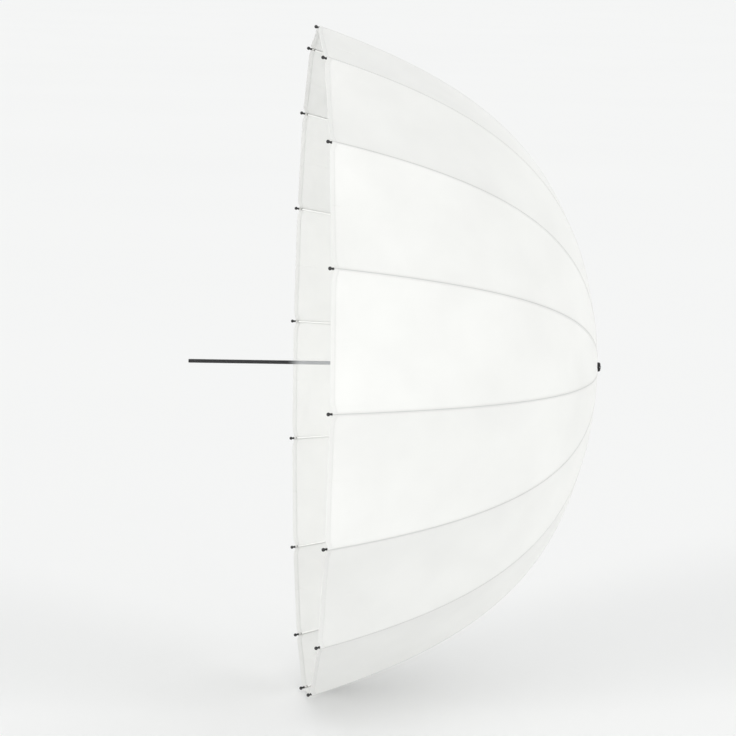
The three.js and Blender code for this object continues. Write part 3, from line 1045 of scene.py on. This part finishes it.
def slack(gore, u, chord, down):
    """How far the fabric stands off its taut shape: u across the gore, down from the apex."""
    across = u * chord
    from_seam = np.minimum(u, 1 - u) * chord
    from_hem = whole_length - down
    free = eased((from_seam - 4 * mm) / (12 * mm)) * eased((from_hem - 10 * mm) / (30 * mm))
    near_apex = eased((down - 20 * mm) / (120 * mm))
    calm = np.sin(math.pi * u) ** 0.6 * free * near_apex
    broad = sum(
        a * np.sin(2 * math.pi * (across * fx + down * fy) + shift[gore])
        for a, fx, fy, shift in waves
    )
    shift = np.where(u < 0.5, phase[0, gore], phase[1, (gore + 1) % rib_count])
    ripple = np.sin(2 * math.pi * down / (19 * mm) + 2.4 * np.sin(down / (83 * mm) + shift))
    strength = 0.45 + 0.55 * np.sin(down / (127 * mm) + 2 * shift) ** 2
    pucker = 0.20 * mm * ripple * strength * np.exp(-from_seam / (12 * mm)) * free
    reach = np.hypot(from_seam, from_hem)
    bearing = np.arctan2(from_seam, np.maximum(from_hem, 1e-6))
    pull = np.sin(8.5 * bearing + shift) * np.exp(-reach / (75 * mm))
    pull = 0.9 * mm * pull * eased(from_seam / (16 * mm)) * eased((from_hem - 9 * mm) / (14 * mm))
    hem_ripple = np.sin(2 * math.pi * across / (23 * mm) + 3 * np.sin(across / (61 * mm) + shift))
    hem_pucker = 0.13 * mm * hem_ripple * np.exp(-from_hem / (20 * mm)) * free
    return calm * broad + pucker + pull + hem_pucker


def seam_point(t, across, side, gore):
    """Places and outward normals on the taut fabric of rib 1, at grids of t and across.

    across is the distance from the rib's plane, side is 1 towards the next rib and -1 back.
    """
    place = on_curve(bowl_handles, t)
    slope = heading(bowl_handles, t)
    chord = 2 * place[..., 1] * math.sin(half_turn)
    share = np.clip(across / np.maximum(chord / 2, 1e-9), 0, 1)
    down = np.interp(t, fine, fine_length)
    lean = half_turn * eased(across / (3 * mm))
    bow = gore_bow * (chord / gore_width) * (2 * share - share**2)
    outward = np.stack(
        [slope[..., 1] * np.cos(half_turn), -slope[..., 0] * np.cos(lean),
         -slope[..., 0] * np.sin(lean) * side], axis=-1,
    )
    outward /= np.linalg.norm(outward, axis=-1, keepdims=True)
    radial = place[..., 1] - across * math.sin(half_turn) - bow * math.cos(half_turn)
    sideways = side * (across * math.cos(half_turn) - bow * math.sin(half_turn))
    stand = slack(gore, share / 2 if side > 0 else 1 - share / 2, chord, down)
    point = np.stack([place[..., 0], radial, sideways], axis=-1) + outward * stand[..., None]
    # (x, outward from the shaft, towards the next rib) to (x, y, z) of rib 1
    turned_axes = np.array([[1, 0, 0], [0, 0, 1], [0, -1, 0]], float)
    return point @ turned_axes, outward @ turned_axes, down


def spaced_rows(start, end):
    """Parameters down one length of fabric, close together at both of its ends."""
    first, last = np.interp([start, end], fine, fine_length)
    rows = list(np.linspace(first, last, int((last - first) / (3.2 * mm))))
    rows[1:1] = [first + 0.5 * mm]
    if end < 1:
        rows[-1:-1] = [last - 0.5 * mm]
    else:
        last_rows = np.array([13, 10.5, 9.2, 8.7, 8.2, 6, 4, 2, 1, 0.45, 0]) * mm
        rows = [r for r in rows if r < last - 14.5 * mm] + list(last - last_rows)
    return np.interp(rows, fine_length, fine)


near_columns = np.array([0, 0.8, 1.6, 2.4, 3.0, 3.4, 4.2, 6.0]) * mm
far_columns = np.array([0.09, 0.21, 0.35, 0.50, 0.65, 0.80, 0.92, 0.975, 1.0])


def columns_at(t):
    """Distances from the rib's plane out to the middle of the gore, a row for each t."""
    half = on_curve(bowl_handles, t)[..., 1] * math.sin(half_turn)
    shrink = np.minimum(1, half / (20 * mm))[:, None]
    near = near_columns[None, :] * shrink
    far = near[:, -1:] + (half[:, None] - near[:, -1:]) * far_columns[None, :]
    return np.concatenate([near, far], axis=1)


def at_the_hem(t, across):
    """The rows brought out between the tips and back at them, where the hem is notched."""
    reach = (-2.5 * mm + 5 * mm * eased(across / (22 * mm))) / (3 * rim_reach)
    down = np.interp(t, fine, fine_length)
    return t + reach * eased(1 - (whole_length - down) / (60 * mm))


def cloth_grid(rib, t):
    """Outer and inner places of one stretch of fabric, from mid-gore to mid-gore."""
    columns = columns_at(t)
    halves = []
    for side in (-1, 1):
        across = columns[:, 1:] if side > 0 else columns[:, ::-1]
        rows = at_the_hem(np.broadcast_to(t[:, None], across.shape), across)
        gore = rib if side > 0 else (rib - 1) % rib_count
        halves.append((*seam_point(rows, across, side, gore), across * side))
    point, outward, down, across = (np.concatenate(pair, axis=1) for pair in zip(*halves))
    in_lap = 1 - eased((np.abs(across) - (lap_half - 0.5 * mm)) / (0.5 * mm))
    from_hem = whole_length - np.interp(t, fine, fine_length)
    in_hem = (1 - eased((from_hem - (hem_width - 0.25 * mm)) / (0.5 * mm)))[:, None]
    in_hem = np.broadcast_to(in_hem, across.shape)
    rise = lap_rise * in_lap * (1 - 0.4 * in_hem) + hem_rise * in_hem
    outer = point + outward * rise[..., None]
    inner = point - outward * (cloth + rise)[..., None]
    return outer, inner, across, down, in_lap, in_hem


stitch_tree, given, out = new_tree(
    "row_of_stitches",
    [("Pitch", "Float", 4.2 * mm), ("Stitch", "Float", 3.1 * mm), ("Thread", "Float", 0.32 * mm),
     ("Seed", "Int", 5), ("Material", "Material", None)],
)
seam_line = node(stitch_tree, "GeometryNodeMeshToCurve", {"Mesh": given["Geometry"]})
needle_holes = node(
    stitch_tree, "GeometryNodeResampleCurve",
    {"Curve": seam_line, "Length": given["Pitch"]}, mode="LENGTH",
)
bead = node(stitch_tree, "GeometryNodeMeshUVSphere", {"Segments": 6, "Rings": 5, "Radius": 0.5})
size = node(
    stitch_tree, "ShaderNodeCombineXYZ",
    {"X": given["Thread"], "Y": given["Thread"], "Z": given["Stitch"]},
)
one_stitch = node(stitch_tree, "GeometryNodeTransform", {"Geometry": bead, "Scale": size})
run = node(stitch_tree, "GeometryNodeInputTangent")
facing = node(stitch_tree, "FunctionNodeAlignRotationToVector", {"Vector": run}, axis="Z")
uneven = node(
    stitch_tree, "FunctionNodeRandomValue",
    {2: 0.9, 3: 1.06, "Seed": given["Seed"]}, data_type="FLOAT",
)
sewn = node(
    stitch_tree, "GeometryNodeInstanceOnPoints",
    {"Points": needle_holes, "Instance": one_stitch,
     "Rotation": facing, "Scale": uneven.outputs[1]},
)
finished_tree(stitch_tree, sewn, given["Material"], out)


def stitches_along(lines, seed):
    """Stitches along several lines, as vertices and faces."""
    return stacked(
        part_of(grown(path_mesh(line, 0), stitch_tree, material=white_thread, seed=seed))
        for line in lines
    )


# the name of each length, where it ends on the seam, the body that carries it and how much
# of its width is left when the bowl is folded
lengths = [
    ("apex", 0.055, "rib_inner", 1.0), ("crown", 0.22, "rib_inner", 0.60),
    ("shoulder", 0.45, "rib_inner", 0.42), ("side", 0.72, "rib_outer", 0.41),
    ("skirt", 0.88, "rib_outer", 0.34), ("rim", 1.0, "rib_outer", 0.27),
]

white_fabric, tree, shader = new_material("white_taffeta")
uv = node(tree, "ShaderNodeUVMap", uv_map="cloth").outputs["UV"]
# The seam_line attribute carries painted shade: a thin grey band in the crease along each rib's
# seam, fainter on the inner face.
crease_shade_mask = node(tree, "ShaderNodeAttribute", attribute_name="seam_line").outputs["Fac"]
lap_mask = node(tree, "ShaderNodeAttribute", attribute_name="layers").outputs["Fac"]
mottle = noise_at(tree, 9)
base = blended(tree, spread(tree, mottle, 0, 1), (0.86, 0.862, 0.85), (0.89, 0.892, 0.88))
layered = blended(tree, spread(tree, lap_mask, 0, 0.4, 0, 1), base, (0.80, 0.80, 0.79))
# painted crease shade: the colour is darkened towards grey along the seam
colour_with_painted_crease_shade = blended(tree, spread(tree, crease_shade_mask, 0, 0.85, 0, 1), layered, (0.50, 0.50, 0.50))
tree.links.new(colour_with_painted_crease_shade, shader.inputs["Base Color"])
light_through = 0.25
through = node(tree, "ShaderNodeBsdfTranslucent", {"Color": colour_with_painted_crease_shade})
sheer = node(tree, "ShaderNodeMixShader", {0: light_through, 1: shader, 2: through})
tree.links.new(sheer.outputs[0], tree.nodes["Material Output"].inputs["Surface"])
shader.inputs["Sheen Weight"].default_value = 0.25
shader.inputs["Sheen Roughness"].default_value = 0.4
shader.inputs["Specular IOR Level"].default_value = 0.3
tree.links.new(spread(tree, noise_at(tree, 60), 0.62, 0.74), shader.inputs["Roughness"])
threads = []
for direction in ("X", "Y"):
    warp = node(
        tree, "ShaderNodeTexWave",
        {"Vector": uv, "Scale": 560, "Distortion": 0.6, "Detail": 1, "Detail Scale": 0.4},
        wave_type="BANDS", bands_direction=direction,
    )
    threads.append(warp.outputs["Fac"])
weave = node(tree, "ShaderNodeMath", {0: threads[0], 1: threads[1]}, operation="MULTIPLY")
bumped(tree, shader, weave, 0.06 * mm, 0.5)


def needle_lines(t, across, rise):
    """Lines of stitching on both sides of the seam, on both faces of the fabric."""
    lines = []
    for side in (-1, 1):
        point, outward, _ = seam_point(t, across, side, 0)
        lines.append(point + outward * (rise + above_cloth))
        lines.append(point - outward * (cloth + rise + above_cloth))
    return lines


hem_row = 7 * mm
# width of the painted crease shade on each side of the seam
painted_crease_shade_width = 0.7 * mm
starts = [hole_at] + [end for _, end, _, _ in lengths]
for index, (label, end, carrier, keep) in enumerate(lengths):
    t = spaced_rows(starts[index], end)
    rows, count = len(t), 2 * len(near_columns) + 2 * len(far_columns) - 1
    seam_t = np.linspace(t[0], at_the_hem(1.0, 2.5 * mm) if end == 1 else t[-1], rows)
    half = on_curve(bowl_handles, seam_t)[:, 1] * math.sin(half_turn)
    lines = needle_lines(seam_t, np.minimum(needle_row, 0.12 * half + 0.3 * mm), lap_rise)
    sewn = stitches_along(lines, seed=index)
    if end == 1:
        across = np.linspace(4.2 * mm, rim_radius * math.sin(half_turn) - 1.5 * mm, 40)
        level = at_the_hem(1.0, across) - hem_row / (3 * rim_reach)
        sewn = stacked([sewn, stitches_along(needle_lines(level, across, hem_rise), seed=7)])
    grid = np.arange(rows * count).reshape(rows, count)
    skin = rows * count
    a, b, c, d = grid[:-1, :-1], grid[:-1, 1:], grid[1:, 1:], grid[1:, :-1]
    quads = np.stack([a, b, c, d], axis=-1).reshape(-1, 4)
    ring = np.concatenate([grid[0, :-1], grid[:-1, -1], grid[-1, :0:-1], grid[:0:-1, 0]])
    after = np.roll(ring, -1)
    rim_quads = np.stack([after, ring, ring + skin, after + skin], axis=-1)
    cloth_faces = np.concatenate([quads, quads[:, ::-1] + skin, rim_quads])
    for rib in range(rib_count):
        outer, inner, across, down, in_lap, in_hem = cloth_grid(rib, t)
        skins = np.concatenate([outer.reshape(-1, 3), inner.reshape(-1, 3)])
        vertices, faces = stacked([(skins, cloth_faces.tolist()), sewn])
        mesh = plain_mesh("cloth", turned_to(rib, vertices), faces)
        mesh.materials.append(white_fabric)
        mesh.materials.append(white_thread)
        in_thread = np.arange(len(faces)) >= len(cloth_faces)
        mesh.polygons.foreach_set("material_index", in_thread.astype(np.int32))
        pad = np.zeros(len(sewn[0]))
        for name, inside, values in (
            # painted crease shade along the seam, at 0.15 strength on the inner face
            ("seam_line", 0.15, np.exp(-((across / painted_crease_shade_width) ** 2))),
            ("layers", 1.0, np.maximum(in_lap, in_hem)),
        ):
            layer = mesh.attributes.new(name, "FLOAT", "POINT")
            both = np.concatenate([values.ravel(), inside * values.ravel(), pad])
            layer.data.foreach_set("value", both.astype(np.float32))
        flat = np.stack([across.ravel(), down.ravel()], axis=1)
        flat = np.concatenate([flat, flat, np.zeros((len(sewn[0]), 2))])
        corners = np.zeros(len(mesh.loops), np.int32)
        mesh.loops.foreach_get("vertex_index", corners)
        mesh.uv_layers.new(name="cloth").data.foreach_set("uv", flat[corners].ravel())
        mesh.set_sharp_from_angle(angle=math.radians(55))
        piece, body = shown(f"fabric_{label}_{number(rib)}", mesh), f"{carrier}_{number(rib)}"
        if label == "apex":
            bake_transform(piece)
        else:
            turn = rib * rib_pitch
            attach(piece, body)
            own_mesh(piece)
        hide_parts("canopy")
